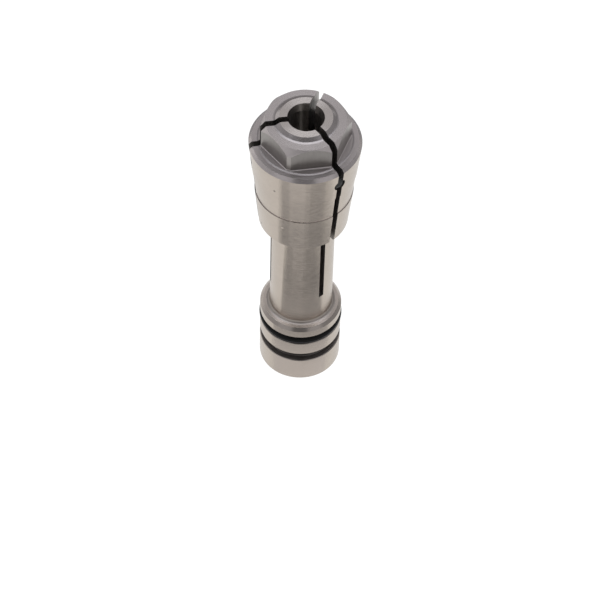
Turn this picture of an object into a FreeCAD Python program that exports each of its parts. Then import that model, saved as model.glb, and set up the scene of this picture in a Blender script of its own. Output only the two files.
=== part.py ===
import FreeCAD, Part
import math
import os

# Spring collet with a hexagonal nose, a sealing ring and three plugged slots.
# Lengths are in millimetres and angles in degrees. The origin is the centre of the rear face,
# and +Z runs along the axis to the nose.

# Rear end, from the rear face to the flange
BODY_DIA = 8.5
REAR_CHAMFER_LENGTH = 0.8
REAR_CHAMFER_DEPTH = 0.67
REAR_LAND_LENGTH = 3.8
RELIEF_GROOVE_WIDTH = 1.14
RELIEF_GROOVE_DEPTH = 0.65
MIDDLE_LAND_LENGTH = 1.72
FLANGE_LENGTH = 1.29
FLANGE_BEVEL = 0.32
LAND_EDGE_BREAK = 0.06
GROOVE_CORNER_RADIUS = 0.1

# Sealing ring and the room that its groove leaves it
SEAL_SECTION = 0.85
SEAL_PROUD = 0.08
SEAL_SEAT_GAP = 0.01
SEAL_WALL_GAP = 0.02
SEAL_SIDE_ROOM = 0.26

# Shank
SHANK_DIA = 6.5
SHANK_LENGTH = 13.61
SHANK_ROOT_RADIUS = 0.4
SHOULDER_RADIUS = 0.6

# Tapered head, with a band in its middle that is ground back from the seat
HEAD_LENGTH = 11.51
TAPER_HALF_ANGLE = 5.36
HEAD_REAR_BEVEL = 0.2
HEAD_FRONT_BEVEL = 0.34
HEAD_FACE_WIDTH = 0.75
BAND_SETBACK = 4.53
BAND_LENGTH = 2.95
BAND_DEPTH = 0.08

# Hexagonal nose
NOSE_LENGTH = 2.72
HEX_ACROSS_FLATS = 8.0
HEX_CORNER_TRIM = 0.24
HEX_FLAT_STANDOFF = 0.08
HEX_FOOT_FLARE = 0.07
NOSE_CHAMFER_LENGTH = 0.7
NOSE_CHAMFER_DEPTH = 0.55
NOSE_ROOT_RADIUS = 0.3

# Raised rim round the mouth of the tool bore
RIM_HEIGHT = 0.38
RIM_TOP_WIDTH = 0.79
RIM_SLOPE_WIDTH = 0.46
RIM_ROOT_RADIUS = 0.4

# Bores
TOOL_BORE_DIA = 3.175
GRIP_LENGTH = 14.5
LEAD_IN_LENGTH = 0.78
LEAD_IN_DEPTH = 0.24
REAR_BORE_DIA = 4.2
REAR_BORE_BEVEL = 0.3
DRILL_POINT_HALF_ANGLE = 59.0

# Slots, and the rubber plugs in the holes drilled across them
SLOT_COUNT = 3
SLOT_END_WIDTH = 0.58
SLOT_NOSE_WIDTH = 0.66
SLOT_SETBACK = 3.64
FIRST_SLOT_BEARING = 90.0
PLUG_DIA = 1.28
PLUG_LENGTH = 2.2
PLUG_SETBACK = 1.98
PLUG_RECESS = 0.03
PLUG_DOME_RISE = 0.25
PLUG_FIT_GAP = 0.01

# How far a cutting tool runs past the metal that it cuts
OVERRUN = 1.0

# Largest share of a shoulder's height that one fillet or bevel may take
CORNER_SHARE = 0.48

AXIS = FreeCAD.Vector(0, 0, 1)
ORIGIN = FreeCAD.Vector(0, 0, 0)

# Radii
body_r = BODY_DIA / 2
shank_r = SHANK_DIA / 2
relief_floor_r = body_r - RELIEF_GROOVE_DEPTH
seal_inner_r = body_r + SEAL_PROUD - SEAL_SECTION
seal_floor_r = seal_inner_r - SEAL_SEAT_GAP
nose_r = HEX_ACROSS_FLATS / 2 / math.cos(math.pi / 6) - HEX_CORNER_TRIM / 2
head_front_r = nose_r + HEAD_FACE_WIDTH + HEAD_FRONT_BEVEL
tool_bore_r = TOOL_BORE_DIA / 2
rear_bore_r = REAR_BORE_DIA / 2
mouth_r = tool_bore_r + LEAD_IN_DEPTH
rim_top_r = mouth_r + RIM_TOP_WIDTH
rim_foot_r = rim_top_r + RIM_SLOPE_WIDTH

# Heights above the rear face
relief_groove_z = REAR_LAND_LENGTH
middle_land_z = relief_groove_z + RELIEF_GROOVE_WIDTH
seal_groove_z = middle_land_z + MIDDLE_LAND_LENGTH
seal_z = seal_groove_z + SEAL_WALL_GAP + SEAL_SECTION / 2
flange_z = seal_groove_z + SEAL_SECTION + SEAL_SIDE_ROOM
shank_z = flange_z + FLANGE_LENGTH
head_z = shank_z + SHANK_LENGTH
head_front_z = head_z + HEAD_LENGTH
nose_front_z = head_front_z + NOSE_LENGTH
rim_z = nose_front_z + RIM_HEIGHT
slot_z = shank_z + SLOT_SETBACK
plug_z = head_front_z - PLUG_SETBACK
grip_front_z = rim_z - LEAD_IN_LENGTH
grip_rear_z = grip_front_z - GRIP_LENGTH


def taper_r(height):
    """Radius of the tapered seat at a height above the rear face."""
    return head_front_r - (head_front_z - height) * math.tan(math.radians(TAPER_HALF_ANGLE))


def sharp(radius, height):
    """Plain corner of a turned outline."""
    return radius, height, "sharp", 0.0


def bevel(radius, height, size):
    """Corner cut off by the same size along both of its edges."""
    return radius, height, "bevel", size


def rounded(radius, height, size):
    """Corner rounded, or filled, to a radius."""
    return radius, height, "round", size


def within(size, room):
    """Fillet or bevel size, limited so that two of them leave some of the wall between them."""
    return min(size, CORNER_SHARE * room)


def corner_cut(before, corner, after):
    """Where the cut or rounding of a corner starts, its middle, and where it ends."""
    point = FreeCAD.Vector(corner[0], 0, corner[1])
    back = FreeCAD.Vector(before[0], 0, before[1]) - point
    ahead = FreeCAD.Vector(after[0], 0, after[1]) - point
    back.normalize()
    ahead.normalize()
    half_angle = back.getAngle(ahead) / 2
    bisector = back + ahead
    bisector.normalize()
    size = corner[3]
    setback = size / math.tan(half_angle) if corner[2] == "round" else size
    middle = point + bisector * (size / math.sin(half_angle) - size)
    return point + back * setback, middle, point + ahead * setback


def turned_outline(corners):
    """Closed wire through the corners, each with its bevel or radius."""
    edges = []
    last = None
    first = None
    for i, corner in enumerate(corners):
        before = corners[i - 1]
        after = corners[(i + 1) % len(corners)]
        if corner[2] == "sharp":
            start = end = FreeCAD.Vector(corner[0], 0, corner[1])
        else:
            start, middle, end = corner_cut(before, corner, after)
        if last is not None:
            edges.append(Part.LineSegment(last, start).toShape())
        else:
            first = start
        if corner[2] == "bevel":
            edges.append(Part.LineSegment(start, end).toShape())
        if corner[2] == "round":
            edges.append(Part.Arc(start, middle, end).toShape())
        last = end
    edges.append(Part.LineSegment(last, first).toShape())
    return Part.Wire(edges)


def turn(corners):
    """Solid of revolution about the collet's axis."""
    return Part.Face(turned_outline(corners)).revolve(ORIGIN, AXIS, 360)


def rear_end_corners():
    """Rear land, relief groove, middle land, seal groove and flange."""
    return [
        sharp(body_r - REAR_CHAMFER_DEPTH, 0),
        sharp(body_r, REAR_CHAMFER_LENGTH),
        bevel(body_r, relief_groove_z, LAND_EDGE_BREAK),
        rounded(relief_floor_r, relief_groove_z, GROOVE_CORNER_RADIUS),
        rounded(relief_floor_r, middle_land_z, GROOVE_CORNER_RADIUS),
        bevel(body_r, middle_land_z, LAND_EDGE_BREAK),
        bevel(body_r, seal_groove_z, LAND_EDGE_BREAK),
        rounded(seal_floor_r, seal_groove_z, GROOVE_CORNER_RADIUS),
        rounded(seal_floor_r, flange_z, GROOVE_CORNER_RADIUS),
        bevel(body_r, flange_z, LAND_EDGE_BREAK),
        bevel(body_r, shank_z, within(FLANGE_BEVEL, body_r - shank_r)),
    ]


def shank_corners():
    """Shank, with its fillets to the flange and to the head."""
    return [
        rounded(shank_r, shank_z, within(SHANK_ROOT_RADIUS, body_r - shank_r)),
        rounded(shank_r, head_z, within(SHOULDER_RADIUS, taper_r(head_z) - shank_r)),
    ]


def head_corners():
    """Tapered seat with its ground-back band."""
    band_rear_z = head_z + BAND_SETBACK
    band_front_z = band_rear_z + BAND_LENGTH
    return [
        bevel(taper_r(head_z), head_z, HEAD_REAR_BEVEL),
        sharp(taper_r(band_rear_z), band_rear_z),
        sharp(taper_r(band_rear_z) - BAND_DEPTH, band_rear_z),
        sharp(taper_r(band_front_z) - BAND_DEPTH, band_front_z),
        sharp(taper_r(band_front_z), band_front_z + BAND_DEPTH),
        sharp(taper_r(head_front_z - HEAD_FRONT_BEVEL), head_front_z - HEAD_FRONT_BEVEL),
        sharp(head_front_r - HEAD_FRONT_BEVEL, head_front_z),
    ]


def nose_corners():
    """Round spigot that the flats are milled on, and the rim round the bore's mouth."""
    return [
        rounded(nose_r, head_front_z, NOSE_ROOT_RADIUS),
        sharp(nose_r, nose_front_z - NOSE_CHAMFER_LENGTH),
        sharp(nose_r - NOSE_CHAMFER_DEPTH, nose_front_z),
        rounded(rim_foot_r, nose_front_z, RIM_ROOT_RADIUS),
        sharp(rim_top_r, rim_z),
    ]


def bore_corners():
    """Lead-in, gripping bore and wider rear bore, from the nose to the rear face."""
    drill_point = (rear_bore_r - tool_bore_r) / math.tan(math.radians(DRILL_POINT_HALF_ANGLE))
    return [
        sharp(mouth_r, rim_z),
        sharp(tool_bore_r, grip_front_z),
        sharp(tool_bore_r, grip_rear_z),
        sharp(rear_bore_r, grip_rear_z - drill_point),
        sharp(rear_bore_r, REAR_BORE_BEVEL),
        sharp(rear_bore_r + REAR_BORE_BEVEL, 0),
    ]


def hexagon(across_flats, height):
    """Closed hexagon about the axis, with a corner on the first slot's bearing."""
    corner_r = across_flats / 2 / math.cos(math.pi / 6)
    corners = []
    for i in range(7):
        bearing = math.radians(FIRST_SLOT_BEARING + 60 * i)
        corners.append(FreeCAD.Vector(corner_r * math.cos(bearing), corner_r * math.sin(bearing), height))
    return Part.makePolygon(corners)


def hex_cutter():
    """Everything outside the six flats, which flare at the foot as their milling cutter leaves them."""
    bottom = head_front_z + HEX_FLAT_STANDOFF
    height = rim_z - bottom + OVERRUN
    foot = hexagon(HEX_ACROSS_FLATS + 2 * HEX_FOOT_FLARE, bottom)
    flare = Part.makeLoft([foot, hexagon(HEX_ACROSS_FLATS, bottom + HEX_FOOT_FLARE)], True, True)
    prism = Part.Face(hexagon(HEX_ACROSS_FLATS, bottom)).extrude(AXIS * height)
    around = Part.makeCylinder(HEX_ACROSS_FLATS, height, FreeCAD.Vector(0, 0, bottom), AXIS)
    return around.cut(prism.fuse(flare))


def slot_bearings():
    """Bearings of the slots about the axis."""
    return [FIRST_SLOT_BEARING + 360 / SLOT_COUNT * i for i in range(SLOT_COUNT)]


def at_bearing(shape, bearing):
    """Shape turned from the +X direction to a bearing about the axis."""
    turned = shape.copy()
    turned.rotate(ORIGIN, AXIS, bearing)
    return turned


def slot_cutter():
    """One slot, out along +X, which widens from its end to the nose because the jaws are set open."""
    outline = [
        FreeCAD.Vector(0, -SLOT_END_WIDTH / 2, slot_z),
        FreeCAD.Vector(0, SLOT_END_WIDTH / 2, slot_z),
        FreeCAD.Vector(0, SLOT_NOSE_WIDTH / 2, rim_z + OVERRUN),
        FreeCAD.Vector(0, -SLOT_NOSE_WIDTH / 2, rim_z + OVERRUN),
    ]
    face = Part.Face(Part.makePolygon(outline + outline[:1]))
    return face.extrude(FreeCAD.Vector(head_front_r + OVERRUN, 0, 0))


def plug_along_x(radius, crown_r, foot_r):
    """Round plug along +X, from its foot to the crown of its domed end."""
    outline_start = FreeCAD.Vector(foot_r, 0, 0)
    foot_edge = FreeCAD.Vector(foot_r, radius, 0)
    dome_edge = FreeCAD.Vector(crown_r - PLUG_DOME_RISE, radius, 0)
    crown = FreeCAD.Vector(crown_r, 0, 0)
    dome_r = (radius ** 2 + PLUG_DOME_RISE ** 2) / (2 * PLUG_DOME_RISE)
    half_turn = math.asin(radius / dome_r) / 2
    dome_middle = FreeCAD.Vector(crown_r - dome_r * (1 - math.cos(half_turn)), dome_r * math.sin(half_turn), 0)
    outline = Part.Wire([
        Part.LineSegment(outline_start, foot_edge).toShape(),
        Part.LineSegment(foot_edge, dome_edge).toShape(),
        Part.Arc(dome_edge, dome_middle, crown).toShape(),
        Part.LineSegment(crown, outline_start).toShape(),
    ])
    plug = Part.Face(outline).revolve(ORIGIN, FreeCAD.Vector(1, 0, 0), 360)
    plug.translate(FreeCAD.Vector(0, 0, plug_z))
    return plug


def plug_foot_r():
    """Distance from the axis to the bottom of a plug's hole."""
    return taper_r(plug_z) - PLUG_RECESS - PLUG_LENGTH


def hole_cutter():
    """One blind plug hole, drilled square to the axis, out along +X."""
    foot_r = plug_foot_r()
    start = FreeCAD.Vector(foot_r, 0, plug_z)
    radius = PLUG_DIA / 2 + PLUG_FIT_GAP
    return Part.makeCylinder(radius, head_front_r + OVERRUN - foot_r, start, FreeCAD.Vector(1, 0, 0))


def collet_body():
    """The one-piece steel body."""
    body = turn(rear_end_corners() + shank_corners() + head_corners() + nose_corners() + bore_corners())
    body = body.cut(hex_cutter())
    for bearing in slot_bearings():
        body = body.cut(at_bearing(slot_cutter(), bearing))
        body = body.cut(at_bearing(hole_cutter(), bearing))
    return body.removeSplitter()


def seal_ring():
    """Rubber ring that lies against the rear wall of its groove and stands a little proud."""
    section_r = SEAL_SECTION / 2
    return Part.makeTorus(seal_inner_r + section_r, section_r, FreeCAD.Vector(0, 0, seal_z), AXIS)


def slot_plug(bearing):
    """Rubber plug that closes a slot near the front of the head."""
    crown_r = taper_r(plug_z) - PLUG_RECESS
    return at_bearing(plug_along_x(PLUG_DIA / 2, crown_r, plug_foot_r()), bearing)


def export(name, shape):
    """Write one sub-part to its own file."""
    solid = shape.Solids[0] if len(shape.Solids) == 1 else shape
    print(name, "solids", len(shape.Solids), "valid", shape.isValid(), "volume", round(shape.Volume, 3))
    solid.exportStep(os.path.join("parts", name + ".step"))


os.makedirs("parts", exist_ok=True)
export("collet_body", collet_body())
export("seal_ring", seal_ring())
for number, plug_bearing in enumerate(slot_bearings(), start=1):
    export(f"slot_plug_{number}", slot_plug(plug_bearing))
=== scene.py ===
import math

import bmesh
import bpy
from bpy.props import FloatProperty, FloatVectorProperty, PointerProperty
from mathutils import Matrix, Vector

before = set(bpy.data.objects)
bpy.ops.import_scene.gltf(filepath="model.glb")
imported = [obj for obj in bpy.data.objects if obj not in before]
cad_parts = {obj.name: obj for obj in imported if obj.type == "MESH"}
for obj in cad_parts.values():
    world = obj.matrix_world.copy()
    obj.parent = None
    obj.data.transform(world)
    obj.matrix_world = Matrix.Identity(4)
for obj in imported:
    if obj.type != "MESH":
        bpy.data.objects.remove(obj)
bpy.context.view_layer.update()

bl_info = {
    "name": "Spring Collet Finish",
    "version": (1, 0, 0),
    "blender": (4, 5, 0),
    "location": "View3D > Sidebar > Collet",
    "description": "Steel and rubber finishes for a slotted spring collet, with its studio and camera",
    "category": "Object",
}

MM = 0.001

# Places on the collet, in millimetres above the rear face
RELIEF_GROOVE = (3.8, 4.94)
SEAL_GROOVE = (6.66, 7.77)
FLANGE_ROOT = (9.06, 9.48)
SLOTTED_FROM = 11.7
HEAD_BEVEL_FROM = 33.18
HEAD_FRONT_HEIGHT = 34.18
NOSE_ROOT = (34.18, 34.5)
NOSE_WALL = (34.28, 36.85)
NOSE_FRONT_HEIGHT = 36.9
RIM_HEIGHT = 37.28
HEIGHT_SLACK = 0.03

# Distances from the axis in millimetres, and how far from a flat a facet still belongs to it or to its foot
BORE_RADIUS = 2.45
PLUG_HOLE_FLOOR_RADIUS = 3.1
HEX_FLAT_DISTANCE = 4.0
GROOVE_MOUTH_RADIUS = 4.2
FLAT_REACH = 0.14
FLAT_FOOT_REACH = 0.5
FLAT_BEARING_SLACK = 0.6

# Slope of a facet as the height of its unit normal, where 1 faces forward and 0 faces sideways
LEVEL = 0.995
NEARLY_LEVEL = 0.95
FACED_SLOPE = 0.9
FLAT_STEEPEST = 0.8
RIM_TOP_SLOPE = 0.78
RIM_SLOPE = (0.7, 0.79)
CHAMFER_SLOPE = (0.5, 0.7)
FLAT_FOOT_SLOPE = 0.6
HEX_ROOT_SLOPE = 0.3
UPRIGHT = 0.2
ROOT_SLOPE = 0.1

# Share of a facet's normal that points away from the axis or round it
FACING_OUT = 0.9
GROOVE_FLOOR_FACING_OUT = 0.5
SLOT_WALL_FACING_ROUND = 0.55

# Turned finishes: material, colour setting, how light (lighter and darker copies of one steel colour by
# region: painted light and shade), roughness, grain, and contrast of the turning marks
TURNED_FINISHES = {
    "faced": ("faced_steel", "faced_colour", 1.0, 0.27, 0.5, 0.04),
    "rim_top": ("rim_top_steel", "rim_colour", 1.0, 0.28, 0.95, 0.04),
    "head_face": ("head_face_steel", "head_face_shaded_colour", 1.0, 0.38, 0.2, 0.05),
    "rim_slope": ("rim_slope_steel", "faced_colour", 0.85, 0.22, 0.2, 0.03),
    # Painted shade: the root fillets of the rim, the nose and the flange are darker copies of their steel,
    # which dims the softbox's highlight in them
    "rim_root": ("rim_root_steel", "faced_colour", 0.76, 0.34, 0.2, 0.03),
    "rooted": ("root_steel", "faced_colour", 0.64, 0.46, 0.2, 0.03),
    "flange_root": ("flange_root_steel", "flange_colour", 0.74, 0.34, 0.2, 0.03),
    # Painted highlight: the flange's face is a lighter copy of the flange steel
    "flange_face": ("flange_face_steel", "flange_colour", 1.25, 0.3, 1.0, 0.03),
    "flange_bevel": ("flange_bevel_steel", "flange_colour", 0.85, 0.22, 0.2, 0.03),
    "flat_foot": ("flat_foot_steel", "faced_colour", 1.05, 0.5, 0.2, 0.03),
    "cornered": ("corner_steel", "milled_colour", 1.35, 0.34, 0.2, 0.03),
    "chamfered": ("chamfer_steel", "faced_colour", 1.0, 0.44, 0.2, 0.03),
    "bevelled": ("bevel_steel", "faced_colour", 1.04, 0.24, 0.2, 0.05),
    "grooved": ("grooved_steel", "groove_shaded_colour", 1.0, 0.38, 0.6, 0.08),
    # Painted shade: the groove floors are half as light as the groove walls, for the shade at the bottom of
    # the grooves
    "groove_floor": ("groove_floor_steel", "groove_shaded_colour", 0.5, 0.38, 0.6, 0.08),
    "bored": ("bored_steel", "bore_colour", 1.0, 0.35, 0.6, 0.08),
}
GROUND_CONTRAST = 0.08
SAWN_ROUGHNESS = 0.38
SEAL_ROUGHNESS = 0.36
PLUG_ROUGHNESS = 0.5

# Scale of the marks in steel and rubber, in repeats to a metre, and the range that noise keeps to
TURNING_AROUND = 1500.0
TURNING_ALONG = 9000.0
STAIN_SCALE = 420.0
MILLING_SCALE = (3500.0, 3500.0, 900.0)
SAWING_SCALE = (4500.0, 4500.0, 600.0)
BLOOM_SCALE = 1400.0
PORE_SCALE = 16000.0
NOISE_RANGE = (0.3, 0.7)

# Small marks of wear on the head: place and radius in millimetres, and how light the steel is there
HEAD_NICKS = (((-1.139, -5.138, 31.45), 0.17, 0.35),
              ((-3.218, -3.162, 23.5), 0.19, 0.2),
              ((-0.412, -4.706, 25.75), 0.16, 1.7))

# Studio, in metres and degrees. Bearings are counted from the camera's side of the collet.
FLOOR_HALF_WIDTH = 1.5
TENT_RADIUS = 0.6
TENT_STEP = 4.0
TENT_COLOUR = (0.97, 0.97, 1.0)

# Walls of the tent by name: bearings and angles above the floor that each spans, the setting that gives its
# brightness, and its share of that brightness at each angle above the floor
FRONT_WALL_HEIGHTS = (6, 63)
TENT_WALLS = {
    "tent_opening": ((-20, 20), (8, 63), "front_shade",
                     ((8, 1.6), (21, 0.9), (30, 1.0), (38, 1.4), (46, 0.9), (55, 0.7), (63, 1.8))),
    "tent_front_left": ((-56, -20), FRONT_WALL_HEIGHTS, "side_shade",
                        ((6, 0.8), (24, 0.7), (33, 0.84), (36, 0.88), (42, 0.55), (46, 0.26), (63, 0.36))),
    "tent_front_right": ((20, 56), FRONT_WALL_HEIGHTS, "side_shade",
                         ((6, 0.8), (24, 0.7), (33, 0.84), (36, 0.88), (42, 0.55), (46, 0.22), (63, 0.32))),
    "tent_side_left": ((-145, -56), (10, 60), "side_shade",
                       ((10, 1.0), (18, 0.75), (28, 0.65), (38, 0.5), (60, 0.45))),
    "tent_side_right": ((56, 120), (4, 60), "side_shade",
                        ((4, 0.5), (28, 0.5), (38, 0.5), (60, 0.45))),
    "tent_back_right": ((120, 145), (1, 60), "side_shade",
                        ((1, 0.42), (18, 0.45), (38, 0.55), (52, 0.75), (60, 0.7))),
    "tent_back": ((145, 215), (2, 66), "back_shade",
                  ((2, 0.8), (20, 0.75), (34, 1.0), (50, 1.4), (66, 1.2))),
}

# Painted shade and reflection before the collet: dark floor sheets, seen only in reflections, for the shadow
# and reflection of a second collet lying there.
# Rows of points in millimetres, to the right of its axis and before it
FRONT_PAINTED_SHADE = (((-9.0, 4.4), (0.0, 2.9), (17.0, 5.0)),
             ((-17.0, 8.0), (0.0, 9.0), (19.5, 8.0)),
             ((-17.0, 16.0), (0.0, 16.0), (18.1, 16.3)),
             ((-22.2, 21.0), (0.0, 21.0), (19.8, 23.6)),
             ((-33.0, 36.0), (0.0, 36.0), (21.4, 38.9)))
LEFT_PAINTED_SHADE = (((-13.0, 6.2), (0.8, 11.0)),
            ((-17.0, 8.0), (1.0, 13.0)),
            ((-17.0, 16.0), (1.5, 16.0)),
            ((-22.2, 21.0), (2.0, 21.0)),
            ((-33.0, 36.0), (3.0, 36.0)))
FRONT_STRIP = (((-10.0, 18.0), (1.2, 20.0)),
               ((-20.0, 36.0), (2.2, 36.0)))
SOFT_STRIP = (((0.0, 18.0), (4.2, 18.0)),
              ((0.0, 36.0), (8.6, 36.0)))

# Mat behind the collet, in arcs: distance from the axis in millimetres and half width in degrees of each. It
# is as bright as the floor at its near edge, and has faded to its own brightness at the distance of the fade.
BACK_MAT = ((42.0, 10.0), (66.0, 26.0), (110.0, 42.0), (200.0, 52.0), (400.0, 58.0))
BACK_MAT_STEPS = 12
BACK_MAT_LIFT = 0.2
BACK_MAT_FADE = 52.0

# Sheets of painted shade and reflection before the collet by name: their rows, how far each lies above the
# floor in millimetres, and its share of the sheets' brightness at each distance from the axis
FRONT_PAINTED_SHADES = {
    "front_mat": (FRONT_PAINTED_SHADE, 0.2,
                  ((3.0, 3.8), (7.0, 3.8), (9.1, 3.3), (11.2, 2.2), (13.3, 1.15), (16.7, 0.9), (20.5, 1.0),
                   (22.5, 1.35), (25.7, 2.3), (29.0, 2.7), (36.0, 3.3))),
    "left_mat": (LEFT_PAINTED_SHADE, 0.3,
                 ((11.0, 2.3), (13.3, 1.4), (16.7, 1.15), (20.5, 1.25), (22.5, 1.8), (25.7, 2.9), (29.0, 3.2),
                  (36.0, 3.6))),
    "soft_strip": (SOFT_STRIP, 0.35,
                   ((18.0, 1.0), (22.0, 1.7), (25.7, 3.0), (29.0, 3.5), (36.0, 4.2))),
    "front_strip": (FRONT_STRIP, 0.4,
                    ((19.0, 1.15), (22.0, 2.0), (25.7, 3.7), (29.0, 4.4), (36.0, 5.2))),
}

# Softbox and camera
SOFTBOX_HEIGHT = 0.42
SOFTBOX_COLOUR = (0.83, 0.885, 1.0)
SENSOR_WIDTH = 36.0


def inside(value, limits):
    """True where a height lies between two limits, give or take the slack."""
    return limits[0] - HEIGHT_SLACK < value < limits[1] + HEIGHT_SLACK


def new_material(name):
    """Empty node material with its shader and output."""
    material = bpy.data.materials.new(name)
    material.use_nodes = True
    nodes = material.node_tree.nodes
    return material, nodes, material.node_tree.links, nodes["Principled BSDF"]


def map_range(nodes, links, value, low, high):
    """Spread a noise value from its usual range over a wanted one."""
    node = nodes.new("ShaderNodeMapRange")
    node.inputs["From Min"].default_value = NOISE_RANGE[0]
    node.inputs["From Max"].default_value = NOISE_RANGE[1]
    node.inputs["To Min"].default_value = low
    node.inputs["To Max"].default_value = high
    links.new(value, node.inputs["Value"])
    return node.outputs["Result"]


def noise(nodes, links, vector, scale, detail=2.0):
    """Noise over a coordinate."""
    node = nodes.new("ShaderNodeTexNoise")
    node.inputs["Scale"].default_value = scale
    node.inputs["Detail"].default_value = detail
    links.new(vector, node.inputs["Vector"])
    return node.outputs["Fac"]


def math_node(nodes, links, operation, first, second):
    """One sum or product of two values, the second a socket or a number."""
    node = nodes.new("ShaderNodeMath")
    node.operation = operation
    links.new(first, node.inputs[0])
    if isinstance(second, float):
        node.inputs[1].default_value = second
    else:
        links.new(second, node.inputs[1])
    return node.outputs["Value"]


def turning_coordinate(nodes, links, around, along):
    """Coordinate that changes slowly round the axis and fast across the turning marks.

    Radius plus height changes along every turned surface, on a cylinder, a cone and an end face alike.
    """
    place = nodes.new("ShaderNodeTexCoord")
    split = nodes.new("ShaderNodeSeparateXYZ")
    links.new(place.outputs["Object"], split.inputs["Vector"])
    flat = nodes.new("ShaderNodeCombineXYZ")
    links.new(split.outputs["X"], flat.inputs["X"])
    links.new(split.outputs["Y"], flat.inputs["Y"])
    radius = nodes.new("ShaderNodeVectorMath")
    radius.operation = "LENGTH"
    links.new(flat.outputs["Vector"], radius.inputs[0])
    path = math_node(nodes, links, "ADD", radius.outputs["Value"], split.outputs["Z"])
    stretched = nodes.new("ShaderNodeCombineXYZ")
    links.new(math_node(nodes, links, "MULTIPLY", split.outputs["X"], around), stretched.inputs["X"])
    links.new(math_node(nodes, links, "MULTIPLY", split.outputs["Y"], around), stretched.inputs["Y"])
    links.new(math_node(nodes, links, "MULTIPLY", path, along), stretched.inputs["Z"])
    return stretched.outputs["Vector"], place.outputs["Object"]


def stretched_coordinate(nodes, links, scale):
    """Coordinate of the collet, stretched by its own scale along each axis."""
    place = nodes.new("ShaderNodeTexCoord")
    stretch = nodes.new("ShaderNodeMapping")
    stretch.inputs["Scale"].default_value = scale
    links.new(place.outputs["Object"], stretch.inputs["Vector"])
    return stretch.outputs["Vector"]


def radial_tangent(nodes, links, shader):
    """Lay the shader's grain round the collet's axis."""
    tangent = nodes.new("ShaderNodeTangent")
    tangent.direction_type = "RADIAL"
    tangent.axis = "Z"
    links.new(tangent.outputs["Tangent"], shader.inputs["Tangent"])


def tint(nodes, links, value, dark, light):
    """Blend two colours by a value."""
    node = nodes.new("ShaderNodeMix")
    node.data_type = "RGBA"
    node.inputs["A"].default_value = (*dark, 1.0)
    node.inputs["B"].default_value = (*light, 1.0)
    links.new(value, node.inputs["Factor"])
    return node.outputs["Result"]


def bump(nodes, links, shader, value, strength, depth):
    """Raise the surface by a value."""
    node = nodes.new("ShaderNodeBump")
    node.inputs["Strength"].default_value = strength
    node.inputs["Distance"].default_value = depth
    links.new(value, node.inputs["Height"])
    links.new(node.outputs["Normal"], shader.inputs["Normal"])


def scaled(colour, factor):
    """Colour made lighter or darker."""
    return tuple(channel * factor for channel in colour)


def nicked(nodes, links, place, colour, nicks):
    """Colour with small marks of wear in it."""
    for spot, radius, lightness in nicks:
        away = nodes.new("ShaderNodeVectorMath")
        away.operation = "DISTANCE"
        away.inputs[1].default_value = tuple(coordinate * MM for coordinate in spot)
        links.new(place, away.inputs[0])
        cover = nodes.new("ShaderNodeMapRange")
        cover.inputs["From Min"].default_value = radius * MM
        cover.inputs["From Max"].default_value = 0.5 * radius * MM
        links.new(away.outputs["Value"], cover.inputs["Value"])
        mark = nodes.new("ShaderNodeMix")
        mark.data_type = "RGBA"
        mark.blend_type = "MULTIPLY"
        mark.inputs["B"].default_value = (lightness, lightness, lightness, 1.0)
        links.new(cover.outputs["Result"], mark.inputs["Factor"])
        links.new(colour, mark.inputs["A"])
        colour = mark.outputs["Result"]
    return colour


def turned_steel(name, colour, roughness, grain, line_depth, contrast, nicks=()):
    """Steel with fine marks round the axis, from a lathe or a grinding wheel."""
    material, nodes, links, shader = new_material(name)
    lines, place = turning_coordinate(nodes, links, TURNING_AROUND, TURNING_ALONG)
    fine = noise(nodes, links, lines, 1.0, 3.0)
    stains = noise(nodes, links, place, STAIN_SCALE, 2.0)
    tone = math_node(nodes, links, "ADD", math_node(nodes, links, "MULTIPLY", fine, 0.6),
                     math_node(nodes, links, "MULTIPLY", stains, 0.4))
    factor = map_range(nodes, links, tone, 0.0, 1.0)
    marked = tint(nodes, links, factor, scaled(colour, 1.0 - contrast), scaled(colour, 1.0 + contrast))
    links.new(nicked(nodes, links, place, marked, nicks), shader.inputs["Base Color"])
    swing = contrast * 0.4
    links.new(map_range(nodes, links, fine, roughness - swing, roughness + swing), shader.inputs["Roughness"])
    shader.inputs["Metallic"].default_value = 1.0
    shader.inputs["Anisotropic"].default_value = grain
    shader.inputs["Anisotropic Rotation"].default_value = 0.25
    radial_tangent(nodes, links, shader)
    bump(nodes, links, shader, fine, 0.08, line_depth)
    return material


def milled_steel(name, colour, roughness):
    """Steel of the six flats, with the short marks of the milling cutter along the axis."""
    material, nodes, links, shader = new_material(name)
    marks = noise(nodes, links, stretched_coordinate(nodes, links, MILLING_SCALE), 1.0, 2.0)
    factor = map_range(nodes, links, marks, 0.0, 1.0)
    marked = tint(nodes, links, factor, scaled(colour, 0.96), scaled(colour, 1.04))
    links.new(marked, shader.inputs["Base Color"])
    links.new(map_range(nodes, links, marks, roughness - 0.01, roughness + 0.01), shader.inputs["Roughness"])
    shader.inputs["Metallic"].default_value = 1.0
    return material


def sawn_steel(name, colour, roughness):
    """Dull steel inside the slots and the plug holes."""
    material, nodes, links, shader = new_material(name)
    grains = noise(nodes, links, stretched_coordinate(nodes, links, SAWING_SCALE), 1.0, 3.0)
    factor = map_range(nodes, links, grains, 0.0, 1.0)
    marked = tint(nodes, links, factor, scaled(colour, 0.6), scaled(colour, 1.15))
    links.new(marked, shader.inputs["Base Color"])
    shader.inputs["Metallic"].default_value = 1.0
    shader.inputs["Roughness"].default_value = roughness
    bump(nodes, links, shader, grains, 0.4, 0.004 * MM)
    return material


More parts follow.
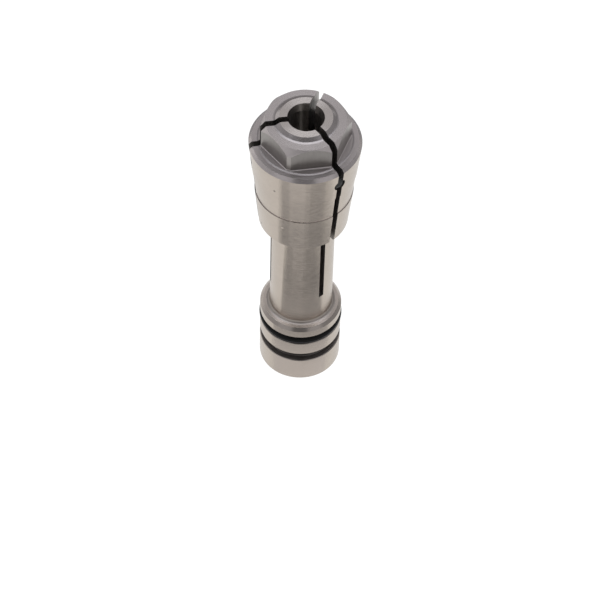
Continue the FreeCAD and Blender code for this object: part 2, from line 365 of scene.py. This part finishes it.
def moulded_rubber(name, colour, roughness):
    """Smooth moulded rubber with a faint bloom."""
    material, nodes, links, shader = new_material(name)
    place = nodes.new("ShaderNodeTexCoord")
    bloom = noise(nodes, links, place.outputs["Object"], BLOOM_SCALE, 3.0)
    pores = noise(nodes, links, place.outputs["Object"], PORE_SCALE, 2.0)
    factor = map_range(nodes, links, bloom, 0.0, 1.0)
    bloomed = tint(nodes, links, factor, scaled(colour, 0.8), scaled(colour, 1.25))
    links.new(bloomed, shader.inputs["Base Color"])
    links.new(map_range(nodes, links, bloom, roughness - 0.05, roughness + 0.05), shader.inputs["Roughness"])
    shader.inputs["Specular IOR Level"].default_value = 0.1
    bump(nodes, links, shader, pores, 0.2, 0.01 * MM)
    return material


def dress_whole(node_object, material):
    """One material over a whole CAD piece."""
    node_object.data.materials.clear()
    node_object.data.materials.append(material)


def body_finish(centre, normal):
    """Name of the finish that a facet of the body has, from its middle and its normal in millimetres."""
    height = centre.z
    slope = normal.z
    radius = math.hypot(centre.x, centre.y)
    outward = Vector((centre.x, centre.y, 0.0)).normalized() if radius > 0 else Vector((1, 0, 0))
    facing_out = normal.dot(outward)
    facing_round = math.sqrt(max(0.0, 1.0 - facing_out ** 2 - slope ** 2))
    if radius < BORE_RADIUS and facing_out < 0.0 and abs(slope) < NEARLY_LEVEL:
        return "bored"
    if height > SLOTTED_FROM:
        on_hole_floor = facing_out > FACING_OUT and radius < PLUG_HOLE_FLOOR_RADIUS
        if facing_round > SLOT_WALL_FACING_ROUND or slope < -NEARLY_LEVEL or on_hole_floor:
            return "sawn"
    if NOSE_WALL[0] < height < NOSE_WALL[1]:
        if slope < FLAT_STEEPEST and is_flat(centre, normal, FLAT_REACH):
            return "flat_foot" if slope > FLAT_FOOT_SLOPE and height < NOSE_ROOT[1] else "milled"
        if abs(slope) < UPRIGHT:
            return "cornered"
    on_root = inside(height, NOSE_ROOT)
    if on_root and HEX_ROOT_SLOPE < slope < LEVEL and is_flat(centre, normal, FLAT_FOOT_REACH):
        return "faced"
    if radius < GROOVE_MOUTH_RADIUS and (inside(height, RELIEF_GROOVE) or inside(height, SEAL_GROOVE)):
        return "groove_floor" if facing_out > GROOVE_FLOOR_FACING_OUT else "grooved"
    if on_root and slope > ROOT_SLOPE:
        return "head_face" if slope > LEVEL else "rooted"
    if inside(height, FLANGE_ROOT) and slope > ROOT_SLOPE:
        return "flange_face" if slope > LEVEL else "flange_root"
    if height > NOSE_FRONT_HEIGHT - HEIGHT_SLACK and slope > RIM_TOP_SLOPE:
        if height > RIM_HEIGHT - HEIGHT_SLACK:
            return "rim_top"
        return "faced" if slope > LEVEL else "rim_root"
    if height > NOSE_FRONT_HEIGHT and RIM_SLOPE[0] < slope < RIM_SLOPE[1]:
        return "rim_slope"
    if height > HEAD_FRONT_HEIGHT and CHAMFER_SLOPE[0] < slope < CHAMFER_SLOPE[1]:
        return "chamfered"
    if abs(slope) > FACED_SLOPE:
        return "faced"
    if abs(slope) > UPRIGHT:
        return "bevelled" if height > HEAD_BEVEL_FROM else "flange_bevel"
    return "ground"


def is_flat(centre, normal, reach):
    """True where a facet of the nose faces as one of the six flats does and lies within reach of it."""
    level = Vector((normal.x, normal.y, 0.0)).normalized()
    distance = centre.x * level.x + centre.y * level.y
    bearing = math.degrees(math.atan2(level.y, level.x)) % 60.0
    off_bearing = min(bearing, 60.0 - bearing)
    return off_bearing < FLAT_BEARING_SLACK and abs(distance - HEX_FLAT_DISTANCE) < reach


class ColletFinish(bpy.types.PropertyGroup):
    """Colours and surface of the collet's pieces."""

    ground_colour: FloatVectorProperty(
        name="Ground Steel", description="Colour of the lands, the shank and the tapered seat",
        subtype="COLOR", size=3, min=0.0, max=1.0, default=(0.455, 0.40, 0.345))
    faced_colour: FloatVectorProperty(
        name="Faced Steel", description="Colour of the turned end faces",
        subtype="COLOR", size=3, min=0.0, max=1.0, default=(0.47, 0.43, 0.42))
    rim_colour: FloatVectorProperty(
        name="Rim Steel", description="Colour of the rim's top round the mouth",
        subtype="COLOR", size=3, min=0.0, max=1.0, default=(0.52, 0.475, 0.447))
    flange_colour: FloatVectorProperty(
        name="Flange Steel", description="Colour of the flange's front face and its edges",
        subtype="COLOR", size=3, min=0.0, max=1.0, default=(0.455, 0.405, 0.367))
    # Painted shade: a darker copy of the faced steel, for the shade that the hexagon nose throws on the
    # head's face
    head_face_shaded_colour: FloatVectorProperty(
        name="Head Face Steel", description="Colour of the head's front face round the hexagon",
        subtype="COLOR", size=3, min=0.0, max=1.0, default=(0.39, 0.353, 0.343))
    milled_colour: FloatVectorProperty(
        name="Milled Steel", description="Colour of the six flats",
        subtype="COLOR", size=3, min=0.0, max=1.0, default=(0.25, 0.235, 0.222))
    # Painted shade: the grooves' steel is darker than the body's outside, for the shade in these two recesses
    groove_shaded_colour: FloatVectorProperty(
        name="Groove Steel", description="Colour of the floors and walls of the two grooves",
        subtype="COLOR", size=3, min=0.0, max=1.0, default=(0.24, 0.22, 0.205))
    bore_colour: FloatVectorProperty(
        name="Bored Steel", description="Colour of the bores and their lead-ins",
        subtype="COLOR", size=3, min=0.0, max=1.0, default=(0.27, 0.245, 0.225))
    slot_colour: FloatVectorProperty(
        name="Slot Steel", description="Colour of the slot walls and the plug holes",
        subtype="COLOR", size=3, min=0.0, max=1.0, default=(0.36, 0.34, 0.32))
    seal_colour: FloatVectorProperty(
        name="Seal Rubber", description="Colour of the sealing ring",
        subtype="COLOR", size=3, min=0.0, max=1.0, default=(0.005, 0.005, 0.005))
    plug_colour: FloatVectorProperty(
        name="Plug Rubber", description="Colour of the slot plugs",
        subtype="COLOR", size=3, min=0.0, max=1.0, default=(0.045, 0.045, 0.043))
    ground_roughness: FloatProperty(
        name="Ground Roughness", description="Roughness of the ground and turned outside",
        subtype="FACTOR", min=0.0, max=1.0, default=0.2)
    ground_grain: FloatProperty(
        name="Ground Grain", description="How much the turning marks stretch a reflection along the collet",
        subtype="FACTOR", min=0.0, max=1.0, default=1.0)
    milled_roughness: FloatProperty(
        name="Milled Roughness", description="Roughness of the six flats",
        subtype="FACTOR", min=0.0, max=1.0, default=0.32)
    line_depth: FloatProperty(
        name="Turning Mark Depth", description="Depth of the fine turning marks",
        subtype="DISTANCE", min=0.0, max=0.001, precision=6, default=0.0000008)


class ColletStudio(bpy.types.PropertyGroup):
    """Light, tent and camera."""

    world_fill: FloatProperty(
        name="Fill", description="Strength of the plain light from all sides on dull surfaces",
        min=0.0, max=4.0, default=0.6)
    softbox_strength: FloatProperty(
        name="Softbox", description="Brightness of the softbox above, where 1 is white",
        min=0.0, max=10.0, default=1.15)
    softbox_size: FloatVectorProperty(
        name="Softbox Size", description="Width and depth of the softbox",
        subtype="XYZ_LENGTH", size=2, default=(0.60, 0.35))
    front_shade: FloatProperty(
        name="Opening", description="Brightness of the tent's dark opening round the camera",
        min=0.0, max=1.0, default=0.2)
    side_shade: FloatProperty(
        name="Side Walls", description="Brightness of the tent's walls beside the opening",
        min=0.0, max=2.0, default=0.85)
    back_shade: FloatProperty(
        name="Back Wall", description="Brightness of the tent's back wall",
        min=0.0, max=2.0, default=0.52)
    # Strength of the painted shade and reflection that the dark glow sheets before the collet put into the
    # steel
    mat_shade: FloatProperty(
        name="Front Mats", description="Brightness of the dark stripe of the mats before the collet",
        min=0.0, max=1.0, default=0.26)
    back_mat_shade: FloatProperty(
        name="Back Mat", description="Brightness of the mat behind the collet",
        min=0.0, max=1.0, default=0.35)
    floor_level: FloatProperty(
        name="Floor", description="Brightness of the floor where it is seen or mirrored, where 1 is white",
        min=0.0, max=2.0, default=1.1)
    shadow: FloatProperty(
        name="Floor Shadow", description="Share of the floor's colour that takes the collet's shadow",
        subtype="FACTOR", min=0.0, max=1.0, default=0.05)
    camera_bearing: FloatProperty(
        name="Camera Bearing", description="Turn of the camera about the collet's axis",
        subtype="ANGLE", default=math.radians(20.0))
    camera_tilt: FloatProperty(
        name="Camera Tilt", description="Angle that the camera looks down at",
        subtype="ANGLE", default=0.906265)
    camera_roll: FloatProperty(
        name="Camera Roll", description="Turn of the camera about its own line of sight",
        subtype="ANGLE", default=0.0290434)
    camera_lens: FloatProperty(
        name="Lens", description="Focal length in millimetres on a 36 mm sensor",
        min=10.0, default=155.69)
    origin_in_view: FloatVectorProperty(
        name="Rear Face in View",
        description="Place of the rear face's centre to the right, up and away from the camera",
        subtype="XYZ_LENGTH", size=3, default=(-0.0000805, -0.0053917, 0.278913))


class COLLET_OT_finish_body(bpy.types.Operator):
    """Give each region of the steel body its own finish"""
    bl_idname = "collet.finish_body"
    bl_label = "Finish Collet Body"

    def execute(self, context):
        finish = context.scene.collet_finish
        depth = finish.line_depth
        finishes = {"ground": turned_steel("ground_steel", finish.ground_colour, finish.ground_roughness,
                                           finish.ground_grain, depth, GROUND_CONTRAST, HEAD_NICKS)}
        # Each region's steel is its colour setting made lighter or darker: painted light and shade by region
        for region, (name, setting, lightness, roughness, grain, contrast) in TURNED_FINISHES.items():
            colour = scaled(getattr(finish, setting), lightness)
            finishes[region] = turned_steel(name, colour, roughness, grain, depth, contrast)
        finishes["milled"] = milled_steel("milled_steel", finish.milled_colour, finish.milled_roughness)
        finishes["sawn"] = sawn_steel("sawn_steel", finish.slot_colour, SAWN_ROUGHNESS)
        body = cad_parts["collet_body"]
        body.data.materials.clear()
        for material in finishes.values():
            body.data.materials.append(material)
        order = list(finishes)
        for facet in body.data.polygons:
            facet.material_index = order.index(body_finish(facet.center / MM, facet.normal))
        return {"FINISHED"}


class COLLET_OT_finish_seal_ring(bpy.types.Operator):
    """Give the sealing ring its black rubber"""
    bl_idname = "collet.finish_seal_ring"
    bl_label = "Finish Seal Ring"

    def execute(self, context):
        finish = context.scene.collet_finish
        rubber = moulded_rubber("seal_rubber", finish.seal_colour, SEAL_ROUGHNESS)
        dress_whole(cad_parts["seal_ring"], rubber)
        return {"FINISHED"}


class COLLET_OT_finish_slot_plugs(bpy.types.Operator):
    """Give the three slot plugs their grey rubber"""
    bl_idname = "collet.finish_slot_plugs"
    bl_label = "Finish Slot Plugs"

    def execute(self, context):
        finish = context.scene.collet_finish
        rubber = moulded_rubber("plug_rubber", finish.plug_colour, PLUG_ROUGHNESS)
        for name, node_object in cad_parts.items():
            if name.startswith("slot_plug"):
                dress_whole(node_object, rubber)
        return {"FINISHED"}


def emitter(name, strength_of):
    """Material that glows by a strength of its own, built by a function of its nodes."""
    material = bpy.data.materials.new(name)
    material.use_nodes = True
    nodes = material.node_tree.nodes
    links = material.node_tree.links
    nodes.clear()
    glow = nodes.new("ShaderNodeEmission")
    output = nodes.new("ShaderNodeOutputMaterial")
    links.new(glow.outputs["Emission"], output.inputs["Surface"])
    strength_of(nodes, links, glow)
    return material


def height_above_floor(nodes, links, place):
    """Height of a point of the sheet."""
    split = nodes.new("ShaderNodeSeparateXYZ")
    links.new(place, split.inputs["Vector"])
    return split.outputs["Z"]


def distance_from_axis(nodes, links, place):
    """Distance of a point of a flat sheet from the collet's axis."""
    radius = nodes.new("ShaderNodeVectorMath")
    radius.operation = "LENGTH"
    links.new(place, radius.inputs[0])
    return radius.outputs["Value"]


def glow_by_place(name, measure, limits, shades):
    """Glow that goes through the shades as a measure of the place goes from one limit to the other."""
    def strength_of(nodes, links, glow):
        place = nodes.new("ShaderNodeTexCoord")
        climb = nodes.new("ShaderNodeMapRange")
        climb.inputs["From Min"].default_value = limits[0]
        climb.inputs["From Max"].default_value = limits[1]
        links.new(measure(nodes, links, place.outputs["Object"]), climb.inputs["Value"])
        ramp = nodes.new("ShaderNodeValToRGB")
        stops = ramp.color_ramp.elements
        while len(stops) < len(shades):
            stops.new(0.5)
        for stop, (position, shade) in zip(stops, shades):
            stop.position = position
            stop.color = (*scaled(TENT_COLOUR, shade), 1.0)
        links.new(climb.outputs["Result"], ramp.inputs["Fac"])
        links.new(ramp.outputs["Color"], glow.inputs["Color"])

    return emitter(name, strength_of)


def reflected_sheet(name, grid, material):
    """Sheet over a grid of points, which only reflections show."""
    mesh = bpy.data.meshes.new(name)
    surface = bmesh.new()
    rows = [[surface.verts.new(point) for point in row] for row in grid]
    for row, following in zip(rows, rows[1:]):
        for j in range(len(row) - 1):
            surface.faces.new((row[j], following[j], following[j + 1], row[j + 1]))
    surface.to_mesh(mesh)
    surface.free()
    mesh.materials.append(material)
    sheet = bpy.data.objects.new(name, mesh)
    bpy.context.scene.collection.objects.link(sheet)
    sheet.visible_camera = False
    sheet.visible_diffuse = False
    sheet.visible_shadow = False
    return sheet


def tent_wall(name, bearings, heights, shades):
    """Curved wall of the tent, between two bearings and two angles above the floor.

    Its brightness goes through the shades, each at its own angle above the floor.
    """
    columns = max(2, round((bearings[1] - bearings[0]) / TENT_STEP))
    rows = max(2, round((heights[1] - heights[0]) / TENT_STEP))
    grid = []
    for i in range(columns + 1):
        bearing = math.radians(bearings[0] + (bearings[1] - bearings[0]) * i / columns - 90.0)
        column = []
        for j in range(rows + 1):
            height = math.radians(heights[0] + (heights[1] - heights[0]) * j / rows)
            away = TENT_RADIUS * math.cos(height)
            above = TENT_RADIUS * math.sin(height)
            column.append((away * math.cos(bearing), away * math.sin(bearing), above))
        grid.append(column)
    low, high = (math.sin(math.radians(height)) for height in heights)
    stops = [((math.sin(math.radians(height)) - low) / (high - low), shade) for height, shade in shades]
    material = glow_by_place(name, height_above_floor, (TENT_RADIUS * low, TENT_RADIUS * high), stops)
    return reflected_sheet(name, grid, material)


def floor_glow_sheet(name, rows, lift, shades):
    """Glow sheet on the floor, seen only in reflections, with each of its shades at its own distance from the
    axis.
    """
    grid = [[(across * MM, -before * MM, lift * MM) for across, before in row] for row in rows]
    first, last = shades[0][0], shades[-1][0]
    stops = [((distance - first) / (last - first), shade) for distance, shade in shades]
    material = glow_by_place(name, distance_from_axis, (first * MM, last * MM), stops)
    return reflected_sheet(name, grid, material)


def back_mat_rows():
    """Rows of points for the mat behind the collet, each row an arc round it."""
    rows = []
    for distance, half_width in BACK_MAT:
        bearings = [math.radians(180.0 + half_width * (2.0 * i / BACK_MAT_STEPS - 1.0))
                    for i in range(BACK_MAT_STEPS + 1)]
        rows.append([(distance * math.sin(bearing), distance * math.cos(bearing)) for bearing in bearings])
    return rows


def seen_or_mirrored(nodes, links):
    """1 for what the camera sees, also in a reflection or through glass, and 0 for light on dull surfaces."""
    path = nodes.new("ShaderNodeLightPath")
    first = math_node(nodes, links, "MAXIMUM", path.outputs["Is Camera Ray"], path.outputs["Is Glossy Ray"])
    return math_node(nodes, links, "MAXIMUM", first, path.outputs["Is Transmission Ray"])


def white_world(scene, fill):
    """World that is white to look at and gives a plain fill light."""
    world = bpy.data.worlds.new("white_room")
    scene.world = world
    world.use_nodes = True
    nodes = world.node_tree.nodes
    links = world.node_tree.links
    background = nodes["Background"]
    background.inputs["Color"].default_value = (1.0, 1.0, 1.0, 1.0)
    level = nodes.new("ShaderNodeMapRange")
    level.inputs["To Min"].default_value = fill
    level.inputs["To Max"].default_value = 1.0
    links.new(seen_or_mirrored(nodes, links), level.inputs["Value"])
    links.new(level.outputs["Result"], background.inputs["Strength"])


def white_floor(level, shadow):
    """Plain white floor that keeps a share of the collet's shadow."""
    mesh = bpy.data.meshes.new("studio_floor")
    surface = bmesh.new()
    reach = FLOOR_HALF_WIDTH
    corners = [(-reach, -reach, 0.0), (reach, -reach, 0.0), (reach, reach, 0.0), (-reach, reach, 0.0)]
    surface.faces.new([surface.verts.new(corner) for corner in corners])
    surface.to_mesh(mesh)
    surface.free()
    material, nodes, links, shader = new_material("studio_floor")
    shader.inputs["Base Color"].default_value = (0.9, 0.9, 0.9, 1.0)
    shader.inputs["Roughness"].default_value = 1.0
    shader.inputs["Specular IOR Level"].default_value = 0.0
    glow = nodes.new("ShaderNodeEmission")
    glow.inputs["Strength"].default_value = level
    share = math_node(nodes, links, "MULTIPLY", seen_or_mirrored(nodes, links), 1.0 - shadow)
    mix = nodes.new("ShaderNodeMixShader")
    links.new(share, mix.inputs["Fac"])
    links.new(shader.outputs["BSDF"], mix.inputs[1])
    links.new(glow.outputs["Emission"], mix.inputs[2])
    links.new(mix.outputs["Shader"], nodes["Material Output"].inputs["Surface"])
    mesh.materials.append(material)
    floor = bpy.data.objects.new("studio_floor", mesh)
    bpy.context.scene.collection.objects.link(floor)


def overhead_softbox(strength, size):
    """Soft light straight above the collet."""
    light = bpy.data.lights.new("overhead_softbox", "AREA")
    light.shape = "RECTANGLE"
    light.size = size[0]
    light.size_y = size[1]
    light.energy = strength * math.pi * size[0] * size[1]
    light.color = SOFTBOX_COLOUR
    lamp = bpy.data.objects.new("overhead_softbox", light)
    lamp.location = (0.0, 0.0, SOFTBOX_HEIGHT)
    lamp.visible_camera = False
    bpy.context.scene.collection.objects.link(lamp)
    return lamp


def photo_camera(scene, studio):
    """Camera at the photograph's place, found from where the rear face's centre lies in its view."""
    tilt = studio.camera_tilt
    right = Vector((1.0, 0.0, 0.0))
    up = Vector((0.0, math.sin(tilt), math.cos(tilt)))
    ahead = Vector((0.0, math.cos(tilt), -math.sin(tilt)))
    roll = studio.camera_roll
    rolled_right = right * math.cos(roll) + up * math.sin(roll)
    rolled_up = up * math.cos(roll) - right * math.sin(roll)
    across, above, away = studio.origin_in_view
    place = -(rolled_right * across + rolled_up * above + ahead * away)
    axes = Matrix((rolled_right, rolled_up, -ahead)).transposed().to_4x4()
    turn = Matrix.Rotation(studio.camera_bearing, 4, "Z")
    camera_data = bpy.data.cameras.new("photo_camera")
    camera_data.lens = studio.camera_lens
    camera_data.sensor_width = SENSOR_WIDTH
    camera_data.clip_start = 0.01
    camera = bpy.data.objects.new("photo_camera", camera_data)
    camera.matrix_world = turn @ Matrix.Translation(place) @ axes
    scene.collection.objects.link(camera)
    scene.camera = camera


class COLLET_OT_build_studio(bpy.types.Operator):
    """Build the white floor, the light, the tent walls and the camera"""
    bl_idname = "collet.build_studio"
    bl_label = "Build Studio"

    def execute(self, context):
        scene = context.scene
        studio = scene.collet_studio
        scene.view_settings.view_transform = "Standard"
        white_world(scene, studio.world_fill)
        white_floor(studio.floor_level, studio.shadow)
        softbox = overhead_softbox(studio.softbox_strength, studio.softbox_size)
        softbox.rotation_euler.z = studio.camera_bearing
        sheets = []
        for name, (bearings, heights, setting, shares) in TENT_WALLS.items():
            shades = [(height, share * getattr(studio, setting)) for height, share in shares]
            sheets.append(tent_wall(name, bearings, heights, shades))
        # Dark glow sheets before the collet: painted shade and reflection
        for name, (rows, lift, shares) in FRONT_PAINTED_SHADES.items():
            shades = [(distance, share * studio.mat_shade) for distance, share in shares]
            sheets.append(floor_glow_sheet(name, rows, lift, shades))
        back_shades = [(BACK_MAT[0][0], studio.floor_level), (BACK_MAT_FADE, studio.back_mat_shade),
                       (BACK_MAT[-1][0], studio.back_mat_shade)]
        sheets.append(floor_glow_sheet("back_mat", back_mat_rows(), BACK_MAT_LIFT, back_shades))
        for sheet in sheets:
            sheet.rotation_euler.z = studio.camera_bearing
        photo_camera(scene, studio)
        return {"FINISHED"}


class VIEW3D_PT_collet(bpy.types.Panel):
    """Sidebar panel that lists the collet's pieces and its studio"""
    bl_label = "Collet"
    bl_space_type = "VIEW_3D"
    bl_region_type = "UI"
    bl_category = "Collet"

    def draw(self, context):
        layout = self.layout
        scene = context.scene
        layout.label(text="Pieces")
        for operator in PIECE_OPERATORS:
            layout.operator(operator.bl_idname)
        for name in ColletFinish.__annotations__:
            layout.prop(scene.collet_finish, name)
        layout.label(text="Studio")
        layout.operator(COLLET_OT_build_studio.bl_idname)
        for name in ColletStudio.__annotations__:
            layout.prop(scene.collet_studio, name)


PIECE_OPERATORS = (COLLET_OT_finish_body, COLLET_OT_finish_seal_ring, COLLET_OT_finish_slot_plugs)
CLASSES = (ColletFinish, ColletStudio, *PIECE_OPERATORS, COLLET_OT_build_studio, VIEW3D_PT_collet)


def register():
    """Register the classes and hang the settings on the scene."""
    for cls in CLASSES:
        bpy.utils.register_class(cls)
    bpy.types.Scene.collet_finish = PointerProperty(type=ColletFinish)
    bpy.types.Scene.collet_studio = PointerProperty(type=ColletStudio)


def unregister():
    """Take the settings off the scene and unregister the classes."""
    del bpy.types.Scene.collet_studio
    del bpy.types.Scene.collet_finish
    for cls in reversed(CLASSES):
        bpy.utils.unregister_class(cls)


def main():
    """Dress every piece and build the studio."""
    register()
    bpy.ops.collet.finish_body()
    bpy.ops.collet.finish_seal_ring()
    bpy.ops.collet.finish_slot_plugs()
    bpy.ops.collet.build_studio()


if __name__ == "__main__":
    main()
